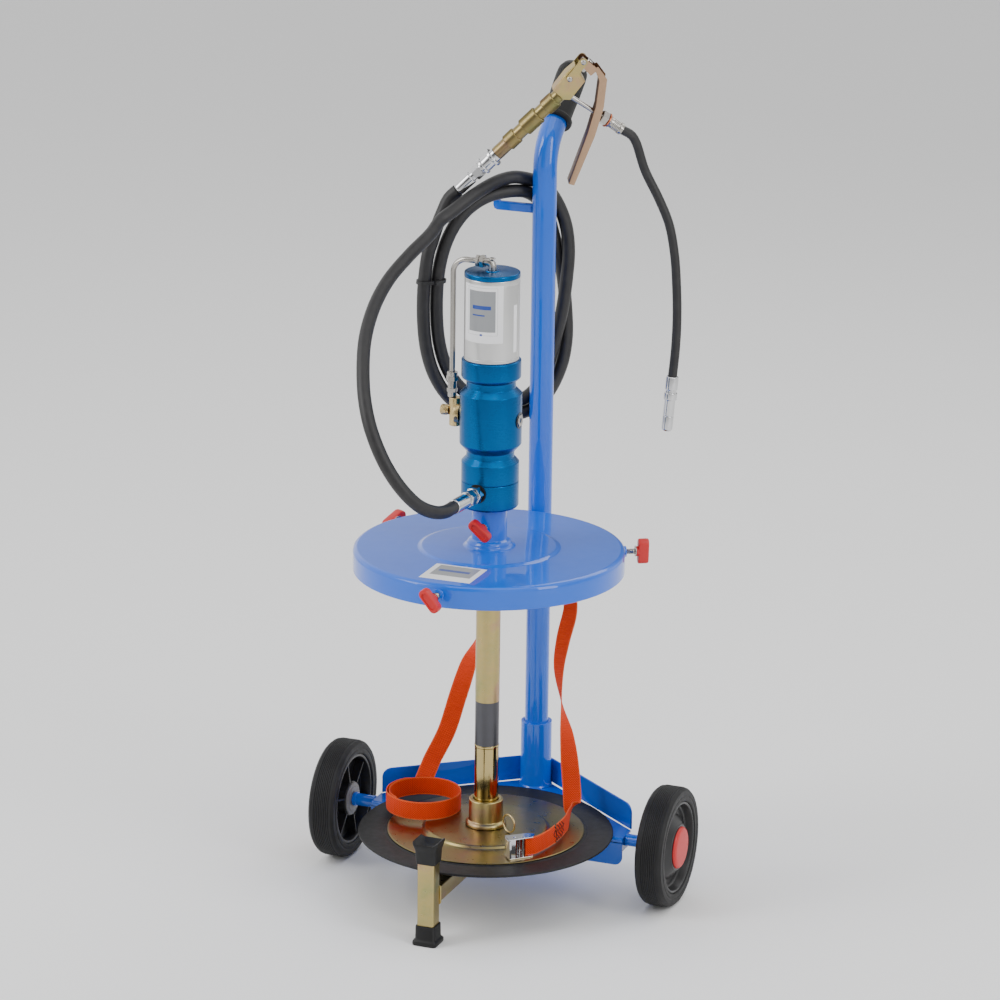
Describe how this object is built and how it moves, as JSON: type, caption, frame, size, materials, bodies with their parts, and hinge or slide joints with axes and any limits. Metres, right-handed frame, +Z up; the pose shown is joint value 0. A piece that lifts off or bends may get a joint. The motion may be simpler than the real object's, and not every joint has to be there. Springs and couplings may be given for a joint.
{
  "type": "air-operated barrel pump on a trolley",
  "caption": "Compressed-air oil and grease pump for a keg-size barrel, on a two-wheel trolley with barrel lid, follower plate, coiled hose, handset and lashing strap.",
  "frame": {"origin": "middle of the machine's footprint box, on the floor; the pump's own axis stands 53 mm in front of it", "axes": "+Z up, +Y from the front leg to the column and handle, +X to the right-hand wheel seen from the leg"},
  "size_m": [0.5572, 0.5765, 1.2107],
  "materials": {
    "blue_paint": "high gloss enamel over sheet steel",
    "blue_anodised": "turned and blue anodised, fine turning marks",
    "satin_aluminium": "satin",
    "stainless": "bright, lightly brushed",
    "chromed": "polished nickel-chromium plating",
    "yellow_zinc": "yellow passivated zinc, iridescent",
    "brass": "machined",
    "black_rubber": "smooth, slightly satin",
    "tyre_rubber": "moulded, fine ribs",
    "black_plastic": "moulded",
    "grey_plastic": "moulded",
    "red_plastic": "moulded, satin gloss",
    "orange_webbing": "cross-ribbed woven polyester webbing"
  },
  "bodies": {
    "trolley": {"base_plate": "blue_paint", "rear_guard": "blue_paint", "column_socket": "blue_paint", "column": "blue_paint", "handle_grip": "black_rubber", "hose_hook": "blue_paint", "front_leg": "yellow_zinc", "leg_foot": "black_rubber", "leg_saddle": "black_rubber", "axle_left": "blue_paint", "axle_right": "blue_paint", "pump_cap": "blue_anodised", "air_cylinder": "satin_aluminium", "air_motor_body": "blue_anodised", "outlet_block": "blue_anodised", "outlet_union": "chromed", "body_plug": "stainless", "suction_tube": "yellow_zinc", "foot_valve_seat": "stainless", "air_elbow_top": "stainless", "air_tube": "stainless", "air_elbow_bottom": "stainless", "air_valve": "brass", "air_silencer": "brass", "delivery_hose": "black_rubber", "hose_coil": "black_rubber", "gun_hose": "black_rubber", "gun_swivel": "chromed", "gun_barrel": "yellow_zinc", "gun_head": "yellow_zinc", "gun_link": "yellow_zinc", "gun_outlet_pipe": "stainless", "whip_hose": "black_rubber", "whip_coupler": "chromed", "strap": "orange_webbing"},
    "wheel_left": {"tyre_left": "tyre_rubber", "hub_left": "black_plastic", "bush_left": "grey_plastic", "wheel_cap_left": "red_plastic"},
    "wheel_right": {"tyre_right": "tyre_rubber", "hub_right": "black_plastic", "bush_right": "grey_plastic", "wheel_cap_right": "red_plastic"},
    "lid": {"drum_lid": "blue_paint"},
    "rim_screw_front": {"rim_screw_front": "red_plastic"},
    "rim_screw_right": {"rim_screw_right": "red_plastic"},
    "rim_screw_left": {"rim_screw_left": "red_plastic"},
    "collar_screw": {"collar_screw": "red_plastic"},
    "piston": {"air_piston": "satin_aluminium", "piston_seal": "black_rubber", "pump_rod": "stainless"},
    "foot_ball": {"foot_valve_ball": "stainless"},
    "follower": {"follower_rubber": "black_rubber", "follower_plate": "yellow_zinc", "follower_hub": "yellow_zinc", "buckle_frame": "chromed"},
    "pull_ring": {"pull_ring": "brass"},
    "buckle_lever": {"buckle_lever": "chromed"},
    "gun_lever": {"gun_lever": "yellow_zinc"}
  },
  "joints": [
    {"name": "wheel_left_spin", "type": "hinge", "parent": "trolley", "child": "wheel_left", "pos_m": [-0.2543, 0.015, 0.0875], "axis": [1, 0, 0], "continuous": true},
    {"name": "wheel_right_spin", "type": "hinge", "parent": "trolley", "child": "wheel_right", "pos_m": [0.2543, 0.015, 0.0875], "axis": [1, 0, 0], "continuous": true},
    {"name": "lid_slide", "type": "slide", "parent": "trolley", "child": "lid", "axis": [0, 0, 1], "range_m": [-0.045, 0]},
    {"name": "rim_screw_front_turn", "type": "hinge", "parent": "lid", "child": "rim_screw_front", "pos_m": [0, -0.228, 0.5135], "axis": [0, -1, 0], "continuous": true},
    {"name": "rim_screw_right_turn", "type": "hinge", "parent": "lid", "child": "rim_screw_right", "pos_m": [0.15155, 0.0345, 0.5135], "axis": [0.866, 0.5, 0], "continuous": true},
    {"name": "rim_screw_left_turn", "type": "hinge", "parent": "lid", "child": "rim_screw_left", "pos_m": [-0.15155, 0.0345, 0.5135], "axis": [-0.866, 0.5, 0], "continuous": true},
    {"name": "collar_screw_turn", "type": "hinge", "parent": "lid", "child": "collar_screw", "pos_m": [0.00126, -0.07106, 0.564], "axis": [0.0698, -0.9976, 0], "continuous": true},
    {"name": "piston_stroke", "type": "slide", "parent": "trolley", "child": "piston", "axis": [0, 0, 1], "range_m": [-0.04, 0.04]},
    {"name": "foot_ball_lift", "type": "slide", "parent": "trolley", "child": "foot_ball", "axis": [0, 0, 1], "range_m": [0, 0.004]},
    {"name": "follower_lift", "type": "slide", "parent": "trolley", "child": "follower", "axis": [0, 0, 1], "range_m": [0, 0.04], "deforming": ["strap"]},
    {"name": "pull_ring_swing", "type": "hinge", "parent": "follower", "child": "pull_ring", "pos_m": [0.044, -0.075, 0.1088], "axis": [-0.8645, 0.5026, 0], "range_deg": [-80, 80]},
    {"name": "buckle_lever_press", "type": "hinge", "parent": "follower", "child": "buckle_lever", "pos_m": [0.0795, -0.1461, 0.1012], "axis": [0, 0, 1], "range_deg": [0, 50], "stiffness_Nm_per_rad": 0.04, "springref_deg": -17.19},
    {"name": "gun_lever_press", "type": "hinge", "parent": "trolley", "child": "gun_lever", "pos_m": [0.06167, 0.13039, 1.20271], "axis": [-0.4407, 0.8713, 0.2161], "range_deg": [0, 4], "stiffness_Nm_per_rad": 0.8, "springref_deg": -14.32}
  ]
}
